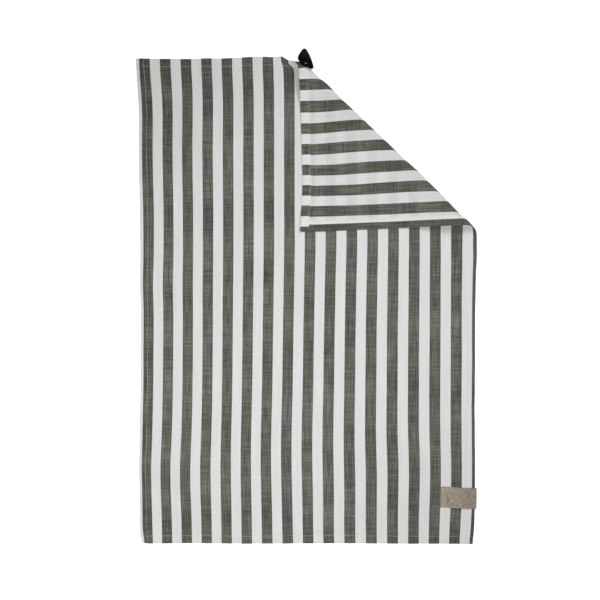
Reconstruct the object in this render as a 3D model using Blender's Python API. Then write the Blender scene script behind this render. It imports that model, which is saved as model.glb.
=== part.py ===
"""A striped cotton tea towel that lies face up on a surface, with one corner turned over its front.

The cloth is worked out flat first: u runs across it from its left long side, v runs up it from its lower
hem. lay() carries each flat point to the place where it lies. The corner past FOLD_MIDDLE goes round a
soft roll and comes down on the front, so the roll, the turned corner and the flat part are one sheet.
+X points to the towel's right, +Y to the end with the loop, +Z up from the surface that it lies on. The
origin is on that surface, under the middle of the towel.
"""
import bmesh
import bpy
import numpy as np

MM = 0.001

# Cloth, cut flat
CLOTH_WIDTH = 485 * MM
CLOTH_LENGTH = 700 * MM
CLOTH_THICK = 1.2 * MM
HEM_WIDTH = 10.3 * MM
HEM_EXTRA = 0.7 * MM          # what the turned-in layers add behind the cloth
HEM_STEP = 0.6 * MM           # width of the step down from the hem to the single cloth
HEM_EASE = 26 * MM            # how far from the hem the cloth comes down to the surface
CELL = 14.5 * MM              # spacing of the flat grid

# The turned corner
FOLD_MIDDLE = np.array([116.9, 227.2]) * MM
FOLD_ANGLE = np.radians(-44.2)
FOLD_ALONG = np.array([np.cos(FOLD_ANGLE), np.sin(FOLD_ANGLE)])
FOLD_ACROSS = np.array([-FOLD_ALONG[1], FOLD_ALONG[0]])
ROLL_RADIUS = 5.0 * MM
ROLL_ENDS = (                 # along the fold, extra share of the radius, reach
    (-176 * MM, 0.5, 45 * MM),
    (175 * MM, 0.8, 35 * MM),
)
OVERTURN = np.radians(20)     # how far past level the cloth turns before it comes down
TURN_EASE = 0.28              # share of the turn over which its bend starts, and over which it ends
TURN_STRETCH = 1.25           # the turn's length over that of an even bend of ROLL_RADIUS
FLAP_SLIP = -4.6 * MM         # how far the corner has slid along the fold
LAYER_GAP = 0.5 * MM          # between the corner and the front that it lies on
FOLD_CUTS = (                 # first and last cut line past the fold, spacing
    (-18 * MM, -8 * MM, 3.4 * MM),
    (-8 * MM, 16 * MM, 1.9 * MM),
    (16 * MM, 40 * MM, 5.5 * MM),
    (40 * MM, 80 * MM, 13 * MM),
)

# How the weave has been pushed about in the flat cloth: x, y, reach in x, reach in y, shift in x, in y (mm)
SWAYS = (
    (-244, 359, 90, 50, -4.4, 0.0),      # top left corner pulled out
    (-244, 215, 110, 65, -1.9, 0.0),
    (-190, -250, 60, 60, -2.6, 0.0),
    (-10, -215, 150, 90, -3.6, 0.0),     # stripes bowed in the lower half
    (232, -352, 60, 40, -3.0, 0.0),      # lower right corner drawn in
    (-228, 22, 60, 30, -1.2, 0.0),
    (246, 80, 22, 45, 2.2, 0.0),         # bulge below the fold's lower end
    (-62, 352, 60, 60, 0.0, 3.6),        # top edge rises towards the loop
    (-175, -352, 60, 40, 0.0, 0.8),
    (0, -352, 400, 60, 0.0, 1.2),
    (60, -352, 110, 40, 0.0, -0.8),
    (242, 350, 42, 42, 0.0, 5.5),        # stretched tip of the turned corner
    (246, 185, 20, 95, -3.4, 0.0),
)
# The same in the laid cloth, on both layers
PULLS = (
    (-20, 349, 14, 14, -3.5, -3.0),
    (-4, 338, 14, 14, 2.5, 2.5),
    (232, 112, 22, 22, 1.5, 2.5),
)
STRIPE_EASE = 3.75 * MM       # the middle stripes lie this far to the left
STRIPE_EASE_END = (30 * MM, 65 * MM)     # past the fold, where that starts to fade, and over how far

# Soft swells: x, y in the flat cloth, half length, half width (mm), angle (degrees), height (mm)
SWELLS = (
    (149, -208, 62, 24, -63, 1.9),
    (-155, -244, 75, 34, 8, 2.6),
    (-43, -236, 62, 26, 82, 1.8),
    (38, -166, 46, 24, -48, 1.4),
    (-186, 292, 78, 26, -42, 1.8),
    (182, -30, 60, 26, 74, 1.2),
    (150, 323, 80, 15, 0, 0.8),          # press marks beside the turned hem
    (158, 280, 60, 16, 0, 0.6),
)

# Woven label, folded round the right long side
LABEL_WIDTH = 30 * MM
LABEL_LEAF = 52 * MM
LABEL_THICK = 0.8 * MM
LABEL_V = 64.4 * MM           # its middle at the towel's side
LABEL_SLOPE = 0.049           # rise per length away from the side, on the front
LABEL_CLEAR = 0.3 * MM
LABEL_MARGIN = 5 * MM         # the cloth stays raised this far round the label
LABEL_EASE = 14 * MM

# Hanging loop: one tape, both ends on the roll's crest at the middle of the top hem
TAPE_THICK = 0.9 * MM
LOOP_ROOT_LEFT = np.array([-4.4, 335.4]) * MM
LOOP_ROOT_RIGHT = np.array([7.8, 336.8]) * MM
LOOP_TIP_LEFT = np.array([-13.0, 348.9]) * MM
LOOP_TIP_RIGHT = np.array([-3.9, 360.4]) * MM
LOOP_REACH = 23 * MM
# Middle of the tape, from its lower end round the tip to its upper end: reach, height (mm)
LOOP_PATH = (
    (0, 16.9), (5, 16.7), (10, 16.0), (14, 15.0), (18, 13.7), (21, 12.9), (22.5, 13.4),
    (23, 14.5), (22.3, 15.7), (20, 16.5), (15, 17.3), (10, 17.9), (5, 18.2), (0, 18.1),
)


def smooth_step(q):
    """0 below q = 0, 1 above q = 1, and 10q^3 - 15q^4 + 6q^5 between them."""
    q = np.clip(q, 0, 1)
    return q ** 3 * (q * (6 * q - 15) + 10)


def turn_profile(steps=800):
    """Section of the fold for a radius of 1: length, distance past the start, height, and where the turn ends.

    The heading climbs to half a turn plus OVERTURN, with its bend eased in and out. It then falls back to
    half a turn over the length that brings the height to zero.
    """
    heading = np.pi + OVERTURN
    arc = heading * TURN_STRETCH
    q = np.linspace(0, 1, steps)
    rising = q * q / (2 * TURN_EASE)
    steady = q - TURN_EASE / 2
    ending = 1 - TURN_EASE - (1 - q) ** 2 / (2 * TURN_EASE)
    share = np.where(q < TURN_EASE, rising, np.where(q < 1 - TURN_EASE, steady, ending))
    turn = heading * share / (1 - TURN_EASE)
    landing = np.pi + OVERTURN * (1 - smooth_step(q))

    def run(angle, length):
        step = length / (steps - 1)
        along = np.concatenate([[0], np.cumsum(np.cos(angle)[1:] + np.cos(angle)[:-1]) * step / 2])
        up = np.concatenate([[0], np.cumsum(np.sin(angle)[1:] + np.sin(angle)[:-1]) * step / 2])
        return along, up

    turn_out, turn_up = run(turn, arc)
    land = turn_up[-1] / -np.mean(np.sin(landing))
    land_out, land_up = run(landing, land)
    length = np.concatenate([q * arc, arc + q[1:] * land])
    out = np.concatenate([turn_out, turn_out[-1] + land_out[1:]])
    up = np.concatenate([turn_up, turn_up[-1] + land_up[1:]])
    return length, out, up, arc


TURN_LENGTH, TURN_OUT, TURN_UP, TURN_ARC = turn_profile()


def shifted(x, y, table):
    """x and y moved by each row of the table, fading as a Gaussian from the row's place."""
    x_new, y_new = x.copy(), y.copy()
    for row_x, row_y, reach_x, reach_y, shift_x, shift_y in np.array(table) * MM:
        weight = np.exp(-((x - row_x) / reach_x) ** 2 - ((y - row_y) / reach_y) ** 2)
        x_new += shift_x * weight
        y_new += shift_y * weight
    return x_new, y_new


def swell(x, y):
    """Height of the soft swells: each is (1 - r^2)^2 over its own ellipse, and nothing outside it."""
    height = np.zeros_like(x)
    for row_x, row_y, half_length, half_width, angle, rise in SWELLS:
        turn = np.radians(angle)
        along = (x / MM - row_x) * np.cos(turn) + (y / MM - row_y) * np.sin(turn)
        across = (y / MM - row_y) * np.cos(turn) - (x / MM - row_x) * np.sin(turn)
        room = np.clip(1 - (along / half_length) ** 2 - (across / half_width) ** 2, 0, 1)
        height += rise * MM * room ** 2
    return height


def label_rise(u, v):
    """Height that the cloth gains over the label's back leaf: full over the label, eased off round it."""
    inward = CLOTH_WIDTH - u - LABEL_LEAF
    beside = np.abs(v - LABEL_V) - LABEL_WIDTH / 2
    away = np.maximum(np.maximum(inward, beside) - LABEL_MARGIN, 0)
    return (LABEL_THICK + LABEL_CLEAR) * (1 - smooth_step(away / LABEL_EASE))


def hem_rise(v):
    """Height that the cloth gains where it comes up over its own turned hem."""
    from_end = np.minimum(v, CLOTH_LENGTH - v) - HEM_WIDTH
    return HEM_EXTRA * (1 - smooth_step(from_end / HEM_EASE))


def sheet_place(u, v):
    """Place of the cloth's back face for flat points u and v, before hem and label lift it."""
    x, y = shifted(u - CLOTH_WIDTH / 2, v - CLOTH_LENGTH / 2, SWAYS)
    past = (x - FOLD_MIDDLE[0]) * FOLD_ACROSS[0] + (y - FOLD_MIDDLE[1]) * FOLD_ACROSS[1]
    across_share = x / CLOTH_WIDTH + 0.5
    fade = 1 - smooth_step((past - STRIPE_EASE_END[0]) / STRIPE_EASE_END[1])
    x = x - STRIPE_EASE * 4 * across_share * (1 - across_share) * fade

    past = (x - FOLD_MIDDLE[0]) * FOLD_ACROSS[0] + (y - FOLD_MIDDLE[1]) * FOLD_ACROSS[1]
    along = (x - FOLD_MIDDLE[0]) * FOLD_ALONG[0] + (y - FOLD_MIDDLE[1]) * FOLD_ALONG[1]
    radius = np.full_like(x, ROLL_RADIUS)
    for place, extra, reach in ROLL_ENDS:
        radius += ROLL_RADIUS * extra * np.exp(-((along - place) / reach) ** 2)
    start = -radius * (TURN_OUT[-1] + TURN_LENGTH[-1]) / 2
    length = (past - start) / radius
    rolled = start + radius * np.interp(length, TURN_LENGTH, TURN_OUT)
    out = np.where(length > 0, rolled, past)
    out = np.where(length > TURN_LENGTH[-1], -past, out)
    turned = smooth_step(length / TURN_ARC)
    height = radius * np.interp(length, TURN_LENGTH, TURN_UP)
    height = height + (2 * CLOTH_THICK + LAYER_GAP) * turned
    along = along + FLAP_SLIP * turned
    x_laid = FOLD_MIDDLE[0] + FOLD_ALONG[0] * along + FOLD_ACROSS[0] * out
    y_laid = FOLD_MIDDLE[1] + FOLD_ALONG[1] * along + FOLD_ACROSS[1] * out
    x_laid, y_laid = shifted(x_laid, y_laid, PULLS)
    height = height + swell(x, y)
    return np.stack([x_laid, y_laid, height], axis=-1), turned


def lay(u, v):
    """Back face and front face of the cloth where it lies, for flat points u and v."""
    step = 0.2 * MM
    place, turned = sheet_place(u, v)
    to_u = sheet_place(u + step, v)[0] - sheet_place(u - step, v)[0]
    to_v = sheet_place(u, v + step)[0] - sheet_place(u, v - step)[0]
    normal = np.cross(to_u, to_v)
    normal /= np.linalg.norm(normal, axis=-1, keepdims=True)
    lifted = 1 - smooth_step(turned * 4)
    place[..., 2] += np.maximum(hem_rise(v), label_rise(u, v)) * lifted
    from_end = np.minimum(v, CLOTH_LENGTH - v)
    extra = HEM_EXTRA * (1 - np.clip((from_end - HEM_WIDTH) / HEM_STEP, 0, 1))
    back = place - normal * extra[..., None]
    front = place + normal * CLOTH_THICK
    return back, front


def even_lines(first, last, spacing):
    """Evenly spaced places from first to last, no further apart than spacing."""
    return np.linspace(first, last, int(np.ceil((last - first) / spacing)) + 1)


def flat_cloth():
    """The flat sheet as triangles: a grid with hem lines, cut again along the fold where it bends."""
    inner = HEM_WIDTH + HEM_STEP
    columns = even_lines(0, CLOTH_WIDTH, CELL)
    rows = np.concatenate([
        [0, HEM_WIDTH],
        even_lines(inner, CLOTH_LENGTH - inner, CELL),
        [CLOTH_LENGTH - HEM_WIDTH, CLOTH_LENGTH],
    ])
    mesh = bmesh.new()
    grid = [[mesh.verts.new((u, v, 0)) for u in columns] for v in rows]
    for low, high in zip(grid[:-1], grid[1:]):
        for a, b, c, d in zip(low[:-1], low[1:], high[1:], high[:-1]):
            mesh.faces.new((a, b, c, d))
    middle = FOLD_MIDDLE + np.array([CLOTH_WIDTH, CLOTH_LENGTH]) / 2
    cuts = np.unique(np.concatenate([even_lines(*row) for row in FOLD_CUTS]).round(7))
    for cut in cuts:
        point = middle + FOLD_ACROSS * cut
        bmesh.ops.bisect_plane(
            mesh, geom=mesh.verts[:] + mesh.edges[:] + mesh.faces[:], dist=0.3 * MM,
            plane_co=(point[0], point[1], 0), plane_no=(FOLD_ACROSS[0], FOLD_ACROSS[1], 0))
    bmesh.ops.triangulate(mesh, faces=mesh.faces[:])
    mesh.verts.index_update()
    points = np.array([vertex.co[:2] for vertex in mesh.verts])
    faces = [tuple(vertex.index for vertex in face.verts) for face in mesh.faces]
    rim = [(edge.link_loops[0].vert.index, edge.link_loops[0].link_loop_next.vert.index)
           for edge in mesh.edges if edge.is_boundary]
    mesh.free()
    return points, faces, rim


def shell(front, back):
    """Closed body between two grids of points of one shape, the front seen with rows up and columns right."""
    rows, columns = front.shape[:2]
    index = np.arange(rows * columns).reshape(rows, columns)
    quads = [(index[r, c], index[r, c + 1], index[r + 1, c + 1], index[r + 1, c])
             for r in range(rows - 1) for c in range(columns - 1)]
    loop = np.concatenate([index[0, :-1], index[:-1, -1], index[-1, :0:-1], index[:0:-1, 0]])
    rim = list(zip(loop, np.roll(loop, -1)))
    return front.reshape(-1, 3), back.reshape(-1, 3), quads, rim


def add_body(name, front, back, faces, rim, material):
    """Object from a front and a back sheet with the same faces, walled together along the rim."""
    count = len(front)
    body = [tuple(int(i) for i in face) for face in faces]
    body += [tuple(int(i) + count for i in reversed(face)) for face in faces]
    for a, b in rim:
        a, b = int(a), int(b)
        body += [(b, a, a + count), (b, a + count, b + count)]
    mesh = bpy.data.meshes.new(name)
    mesh.from_pydata(np.concatenate([front, back]).tolist(), [], body)
    mesh.shade_smooth()
    mesh.set_sharp_from_angle(angle=np.radians(40))
    mesh.materials.append(material)
    item = bpy.data.objects.new(name, mesh)
    bpy.context.collection.objects.link(item)
    return item


def plain_material(name, colour, roughness):
    """Cloth-like Principled material in one linear colour."""
    material = bpy.data.materials.new(name)
    material.use_nodes = True
    shader = material.node_tree.nodes["Principled BSDF"]
    shader.inputs["Base Color"].default_value = (*colour, 1)
    shader.inputs["Roughness"].default_value = roughness
    shader.inputs["Metallic"].default_value = 0
    return material


def make_cloth(material):
    """The towel itself: one sheet with its two hems, lying flat with its top right corner turned over."""
    points, faces, rim = flat_cloth()
    back, front = lay(points[:, 0], points[:, 1])
    return add_body("towel_cloth", front, back, faces, rim, material)


def make_label(material):
    """Strip folded round the towel's right side, its leaves on the front and the back of the cloth."""
    inner = (CLOTH_THICK + 2 * LABEL_CLEAR) / 2
    middle = LABEL_THICK + inner
    leaf = even_lines(0, LABEL_LEAF, LABEL_LEAF / 5)
    bend = even_lines(0, np.pi, np.pi / 8)[1:-1]
    run = np.concatenate([LABEL_LEAF - leaf, -np.sin(bend), leaf])
    turn = np.concatenate([np.full(len(leaf), 0.0), bend, np.full(len(leaf), np.pi)])
    on_bend = np.concatenate([np.zeros(len(leaf)), np.ones(len(bend)), np.zeros(len(leaf))])
    travel = np.concatenate([LABEL_LEAF - leaf, bend * 0, -leaf])
    across = even_lines(-LABEL_WIDTH / 2, LABEL_WIDTH / 2, LABEL_WIDTH / 4)

    def face(radius):
        inward = np.where(on_bend > 0, run * radius, run)[:, None] + across[None, :] * 0
        v = LABEL_V + across[None, :] + LABEL_SLOPE * travel[:, None]
        x, y = shifted(CLOTH_WIDTH / 2 - inward, v - CLOTH_LENGTH / 2, SWAYS)
        share = np.clip(x / CLOTH_WIDTH + 0.5, 0, 1)
        x = x - STRIPE_EASE * 4 * share * (1 - share)
        height = middle + radius * np.cos(turn)[:, None] + x * 0
        return np.stack([x, y, height], axis=-1)

    outside, inside = face(inner + LABEL_THICK), face(inner)
    front, back, quads, rim = shell(outside.transpose(1, 0, 2), inside.transpose(1, 0, 2))
    return add_body("side_label", front, back, quads, rim, material)


def make_loop(material):
    """Tape carried along LOOP_PATH, between a left and a right line in plan that give it its lean."""
    reach, height = np.array(LOOP_PATH).T * MM
    share = (reach / LOOP_REACH)[:, None]
    left = np.hstack([LOOP_ROOT_LEFT + (LOOP_TIP_LEFT - LOOP_ROOT_LEFT) * share, height[:, None]])
    right = np.hstack([LOOP_ROOT_RIGHT + (LOOP_TIP_RIGHT - LOOP_ROOT_RIGHT) * share, height[:, None]])
    middle = np.stack([left, right])
    normal = np.cross(np.gradient(middle, axis=1), right - left)
    normal *= TAPE_THICK / 2 / np.linalg.norm(normal, axis=-1, keepdims=True)
    front, back, quads, rim = shell(middle + normal, middle - normal)
    return add_body("hanging_loop", front, back, quads, rim, material)


def main():
    """Clear the scene and model the towel's three pieces."""
    for item in list(bpy.data.objects):
        bpy.data.objects.remove(item, do_unlink=True)
    make_cloth(plain_material("Striped woven cotton", (0.42, 0.42, 0.40), 0.9))
    make_label(plain_material("Beige label tape", (0.33, 0.29, 0.23), 0.85))
    make_loop(plain_material("Black cotton tape", (0.012, 0.012, 0.011), 0.8))


main()
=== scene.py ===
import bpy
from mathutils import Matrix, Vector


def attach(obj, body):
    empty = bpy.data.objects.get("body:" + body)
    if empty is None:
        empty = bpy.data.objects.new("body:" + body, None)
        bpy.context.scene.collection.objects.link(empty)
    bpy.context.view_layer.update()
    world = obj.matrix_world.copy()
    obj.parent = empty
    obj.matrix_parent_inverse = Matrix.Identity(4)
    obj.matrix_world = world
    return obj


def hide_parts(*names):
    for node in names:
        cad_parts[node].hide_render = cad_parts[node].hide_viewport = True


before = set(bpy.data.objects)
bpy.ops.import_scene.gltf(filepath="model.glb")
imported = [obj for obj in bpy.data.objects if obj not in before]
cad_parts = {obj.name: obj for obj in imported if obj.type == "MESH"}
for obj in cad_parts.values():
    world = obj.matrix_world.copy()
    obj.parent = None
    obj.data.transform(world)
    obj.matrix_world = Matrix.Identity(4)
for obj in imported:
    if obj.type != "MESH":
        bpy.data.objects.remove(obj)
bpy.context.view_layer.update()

# A striped cotton tea towel, lying face up with its top right corner turned over its front. The cloth is
# worked out flat first: u runs across it from its left long side and v up it from its lower hem. laid()
# carries each flat point to the place where it lies, in the form of the solids that it replaces and with
# finer pulls and waves, so the towel, its sewing and its label all follow one mapping. +X is to the towel's
# right, +Y towards the end with the loop, +Z up from the surface that it lies on.

from functools import partial

import bpy
import numpy as np

MM = 0.001

# Cloth with its hems turned, before it is laid
CLOTH_WIDTH = 485 * MM
CLOTH_LENGTH = 700 * MM
CLOTH_THICK = 0.36 * MM
LAYER_CLOSE = 0.02 * MM       # between the layers of a hem
SIDE_TRIM = (2.6 * MM, 1.4 * MM)              # how much less cloth stands left of the right turn: low, high
SIDE_TRIM_SPAN = (360 * MM, 110 * MM)         # in v, where that changes, and over how far
SIDE_TRIM_REACH = 45 * MM
FINE_CELL = 2.6 * MM          # grid spacing round the turned corner
WIDE_CELL = (4.6 * MM, 5.2 * MM)              # and elsewhere, across and along
FINE_FROM = (222 * MM, 436 * MM)              # where the fine grid starts, in u and v
HEM_LEAF_LINES = (0.35, 0.65, 0.86, 0.95, 1.0)   # on a hem's leaf, shares of the way to its stitches
HEM_TUCK_LINE = 0.6           # on its tucked layer, share of the hem's width
# Grid lines in and beside the hems, from the towel's edge (mm), crowded about the stitches
LEFT_LINES = (1.8, 5, 9, 10.4, 11.1, 11.8, 12.8, 14.6, 18)
RIGHT_LINES = (18.5, 15.8, 14.2, 13.3, 12.6, 11.9, 9.5, 5.4, 1.8)
END_LINES = (2.2, 5, 8, 9.6, 10.1, 10.6, 11.1, 11.6, 12.4, 14, 17, 20)

# Hems, turned twice: the long sides first, then the ends over them. A bend's radius leaves room for
# what lies inside it, one layer in a side hem and in most of an end hem, three at the corners.
SIDE_HEMS = (12.4 * MM, 13.8 * MM)            # left and right, width
SIDE_STITCHES = (11.1 * MM, 12.6 * MM)        # stitch lines, from the towel's side
END_HEM = 12.0 * MM
END_STITCH = 11.0 * MM        # stitch line, from the towel's end
INNER_BEND = (CLOTH_THICK + LAYER_CLOSE) / 2
OUTER_BEND = 2 * INNER_BEND
HEM_DEPTH = 2 * OUTER_BEND    # from the middle of the outer layer to the middle of the innermost
STACK = HEM_DEPTH + CLOTH_THICK + LAYER_CLOSE
CORNER_INNER_BEND = STACK - INNER_BEND
CORNER_OUTER_BEND = STACK / 2 + CORNER_INNER_BEND
CORNER_DEPTH = 2 * CORNER_OUTER_BEND
CORNER_MARGIN = (1.5 * MM, 7 * MM)            # inside a side hem, where an end hem narrows, and over how far
TUCK_END = 3.4 * MM           # from the towel's edge to the raw edge inside a hem
HEM_EASE = 24 * MM            # how far from a hem the cloth comes down to the surface
HEM_GROOVE = 0.1 * MM         # how deep the stitches pull the cloth in
HEM_GROOVE_REACH = 0.9 * MM
HEM_WAVE = 0.35 * MM          # height of the puckers that the stitching leaves
HEM_WAVES = (11 * MM, 17 * MM, 29 * MM)       # their lengths
LEAF_SLIP = -1.2 * MM         # the top hem's leaf is turned this far askew at its right end
LEAF_SLIP_SPAN = (230 * MM, 250 * MM)

# The turned corner
FOLD_MIDDLE = np.array([116.9, 227.2]) * MM
FOLD_ANGLE = np.radians(-44.2)
FOLD_ALONG = np.array([np.cos(FOLD_ANGLE), np.sin(FOLD_ANGLE)])
FOLD_ACROSS = np.array([-FOLD_ALONG[1], FOLD_ALONG[0]])
ROLL_RADIUS = 4.4 * MM
ROLL_ENDS = (                 # along the fold, extra share of the radius, reach
    (-176 * MM, 0.7, 45 * MM),
    (175 * MM, 1.0, 35 * MM),
)
OVERTURN = np.radians(20)     # how far past level the cloth turns before it comes down
TURN_EASE = 0.28              # share of the turn over which its bend starts, and over which it ends
TURN_STRETCH = 1.25           # the turn's length over that of an even bend of ROLL_RADIUS
FLAP_SLIP = -4.6 * MM         # how far the corner has slid along the fold
LAYER_GAP = 0.4 * MM          # between the corner and the front that it lies on
# Painted shade on the turned corner along the fold's roll
HOLLOW_SHADE = (1.1, 0.5)     # how much darker the cloth looks over the fold's hollow, close and further on
HOLLOW_REACH = (8 * MM, 60 * MM)
SHOWS_FROM = (16 * MM, 24 * MM)               # past the fold, where stripes below start to show, and reach
SHOWS_EDGE = 3 * MM           # width over which the edge of such a stripe blurs

# How the weave has been pushed about in the flat cloth: x, y, reach in x, reach in y, shift in x, in y (mm)
SWAYS = (
    # Bowed stripes, from the top down
    (-95, 345, 85, 35, -1.8, 0),
    (70, 85, 80, 45, 1.0, 0),
    (-20, -75, 130, 110, -1.5, 0),
    (85, -80, 130, 80, -0.6, 0),
    (-10, -215, 150, 90, -3.6, 0),
    (145, -245, 80, 45, 1.8, 0),
    (-190, -250, 60, 60, -2.6, 0),
    (-80, -335, 130, 130, -2.1, 0),
    (40, -335, 45, 45, -1.3, 0),
    # Left long side, from its pulled-out upper corner to its rounded lower one
    (-244, 359, 90, 50, -4.4, 0),
    (-240, 325, 50, 40, -1.4, 0),
    (-246, 298, 8, 24, -0.8, 0),
    (-244, 215, 110, 65, -1.9, 0),
    (-215, 175, 25, 130, 1.4, 0),
    (-228, 22, 60, 30, -1.2, 0),
    (-244, 5, 8, 45, 0.8, 0),
    (-235, -20, 50, 120, 1.0, 0),
    (-244, -115, 8, 50, 0.9, 0),
    (-244, -280, 8, 90, 1.1, 0),
    (-238, -346, 14, 14, 2.3, 1.0),
    (-244, -350, 7, 7, 1.8, 1.6),
    # Right long side, from the stretched tip of the turned corner, with a bulge below the fold's lower end
    (242, 350, 42, 42, 0, 5.5),
    (246, 215, 20, 60, -0.6, 0),
    (242, 90, 14, 20, -0.9, 0),
    (246, 80, 22, 45, 2.2, 0),
    (246, 12, 8, 24, 0.9, 0),
    (215, 0, 110, 360, 1.2, 0),
    (242, -158, 12, 20, -0.5, 0),
    (246, -331, 9, 18, 1.1, 0),
    (238, -345, 16, 16, -1.0, 0),
    (232, -352, 60, 40, -2.4, 0),
    # Top end, which rises towards the loop while its hem widens, and lower end
    (-120, 352, 80, 40, 0, -1.4),
    (-62, 352, 60, 60, 0, 2.0),
    (-62, 354, 60, 16, 0, 1.6),
    (-175, -352, 60, 40, 0, 0.8),
    (0, -352, 400, 60, 0, 0.6),
    (30, -352, 80, 40, 0, 0.6),
)
# The same in the laid cloth, on both layers
PULLS = (
    # Slack fold, from its upper end down
    (26, 312, 14, 14, 0.9, 0.9),
    (32, 308, 24, 24, 1.0, 0),
    (62, 281, 34, 34, 0.9, 0.9),
    (62, 262, 40, 40, 0.2, 0.2),
    (80, 262, 20, 20, 1.0, 0),
    (112, 233, 34, 34, 1.4, 1.4),
    (160, 186, 34, 34, 1.7, 1.7),
    (166, 180, 40, 40, 1.0, 0),
    (196, 151, 24, 24, 1.3, 1.3),
    (209, 139, 16, 16, 0.6, 0.6),
    (232, 112, 22, 22, 1.5, 2.5),
    # Top edge, with a stripe gathered beside the loop
    (-4, 338, 14, 14, 2.5, 2.5),
    (-19, 350, 9, 10, 0, -3.0),
    (-20, 349, 14, 14, -3.5, -3.0),
    (-24, 349, 14.5, 7, -5.0, 0),
    (-28, 352, 7, 8, 0, 1.6),
    (-38, 352, 10, 10, 0, 1.3),
    (-50, 354, 8, 8, 0, -1.1),
    (-147, 354, 16, 8, 0, 1.5),
    # Turned corner's stripes and lower edge
    (18, 266, 36, 26, 0, -2.1),
    (30, 190, 85, 80, 0, -0.9),
    (18, 102, 60, 14, 0, -1.9),
    (110, 102, 40, 14, 0, -0.9),
    (213, 108, 30, 12, 0, 1.5),
)
STRIPE_EASE = 3.75 * MM       # the middle stripes lie this far to the left
STRIPE_EASE_END = (30 * MM, 65 * MM)     # past the fold, where that starts to fade, and over how far

# Soft swells: x, y in the flat cloth, half length, half width (mm), angle (degrees), height (mm)
SWELLS = (
    (149, -208, 62, 24, -63, 1.9),
    (-155, -244, 75, 34, 8, 2.6),
    (-43, -236, 62, 26, 82, 1.8),
    (38, -166, 46, 24, -48, 1.4),
    (-186, 292, 78, 26, -42, 1.8),
    (182, -30, 60, 26, 74, 1.2),
    (150, 323, 80, 15, 0, 0.8),          # press marks beside the turned hem
    (158, 280, 60, 16, 0, 0.6),
    (240, 158, 58, 36, 90, 7.5),         # turned corner's two edges, standing off the front beside the roll
    (38, 345, 42, 26, 0, 2.5),
)
RIPPLES = 16                  # soft waves that the cloth has kept from being folded away
RIPPLE_LENGTH = (38 * MM, 130 * MM)
RIPPLE_SLOPE = 0.0075         # height of each wave over its length
RIPPLE_REST = 0.16 * MM       # how softly the waves come down on the surface
RIPPLE_SEED = 11
SIDE_LIFT = 0.7 * MM          # how high the long sides stand off the surface here and there
SIDE_LIFT_REACH = 9 * MM
SIDE_LIFT_WAVES = (47 * MM, 83 * MM, 131 * MM)
OTHER_EDGE = (0.31, 0.17)     # shift in the upper and the right edge's waves, so that opposite edges differ
HEM_SEED, SIDE_SEED = 3, 5

# Stripes, across the cloth
STRIPE_MARGIN = 4.8 * MM      # white strip along the left side
STRIPE_WIDTH = 14.8 * MM      # of a dark and a white one on average
DARK_WIDTH = 15.2 * MM
DYE_EDGE = 0.5 * MM           # width over which dark yarns give way to white ones
# Where the dark stripes are darker, with the share of their lightness that is left there: towards the long
# sides, and as painted shade towards three places, which darkens the white stripes a little too
SIDE_DARKENING = (26 * MM, 0.78)    # reach from the long sides, share
PAINTED_SHADE_PLACES = (                  # flat place, reach, share
    ((0, 728 * MM), 190 * MM, 0.66),
    ((170 * MM, 745 * MM), 110 * MM, 0.8),
    ((485 * MM, 55 * MM), 170 * MM, 0.8),
)

# Woven label, folded round the right long side
LABEL_WIDTH = 30 * MM
LABEL_LEAF = 48 * MM
LABEL_THICK = 0.45 * MM
LABEL_V = 65.6 * MM           # its middle at the towel's side
LABEL_SLOPE = 0.049           # rise per length away from the side, on the front
LABEL_GAP = 0.06 * MM
LABEL_TUCK = 4.5 * MM         # turned under at its inner end
LABEL_TUCK_EASE = 3 * MM      # where the front leaf comes down past the tuck
LABEL_STITCH = 3.2 * MM       # stitch line, from its inner end
LABEL_GROOVE = (0.14 * MM, 0.8 * MM)          # how deep the stitches pull it in, and how far from their line
LABEL_REACH = 2.4 * MM        # how far it stands out past the towel's side
LABEL_BULGE = 1.9 * MM
LABEL_BULGE_FROM = 1 * MM     # where it starts to rise, past the stitches
LABEL_BULGE_EASES = (20 * MM, 16 * MM)        # over which it rises, and falls to the towel's side
LABEL_CELL = 1.6 * MM         # grid spacing
LABEL_BACK_CELL = 2.5 * MM    # and that of its back leaf
LABEL_FRONT_ENDS = (1.2 * MM, 0.6 * MM)       # its front leaf's first and last grid line, from the leaf's ends
LABEL_BACK_END = 1 * MM       # its back leaf's last grid line, from the towel's side
LABEL_BACK_EASE = 8 * MM      # inside the side hem, where its back leaf comes up to the cloth
LABEL_STITCH_MARGIN = 1.5 * MM                # from its sides to the ends of the stitch line
LABEL_STITCH_PITCH = 2.4 * MM
LABEL_MARGIN = 5 * MM         # the cloth stays raised this far round the label
LABEL_EASE = 14 * MM

# Hanging loop: one tape, both ends on the roll's crest at the middle of the top hem
TAPE_THICK = 0.6 * MM
LOOP_ROOT_LEFT = np.array([-9.2, 337.6]) * MM
LOOP_ROOT_RIGHT = np.array([9.0, 330.4]) * MM
LOOP_TIP_LEFT = np.array([-15.3, 349.8]) * MM
LOOP_TIP_RIGHT = np.array([-5.3, 364.8]) * MM
LOOP_REACH = 23 * MM
LOOP_SPREAD = (0.8 * MM, 2.2 * MM)            # how far its left and right edge bow out between roots and tip
LOOP_ROUND = (0.12, 0.12)     # how far its corners are rounded at roots and tip, as shares of its reach
LOOP_ROUND_ROOTS = 0.3        # share of the reach over which the rounding at the roots fades
LOOP_LEGS = (0.30, 0.22)      # how much narrower the lower and the upper leg is where it is sewn on
LOOP_LEG_REACH = 0.55         # share of the reach over which the legs widen to the tape's full width
LOOP_ARCH = 1.3 * MM          # how far the tape is arched up between its two edges
LOOP_GRID = (13, 60)          # places across and along it
TACK = ([4, 5], slice(50, 54))               # the two short stitches on its upper leg, in places of that grid
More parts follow.
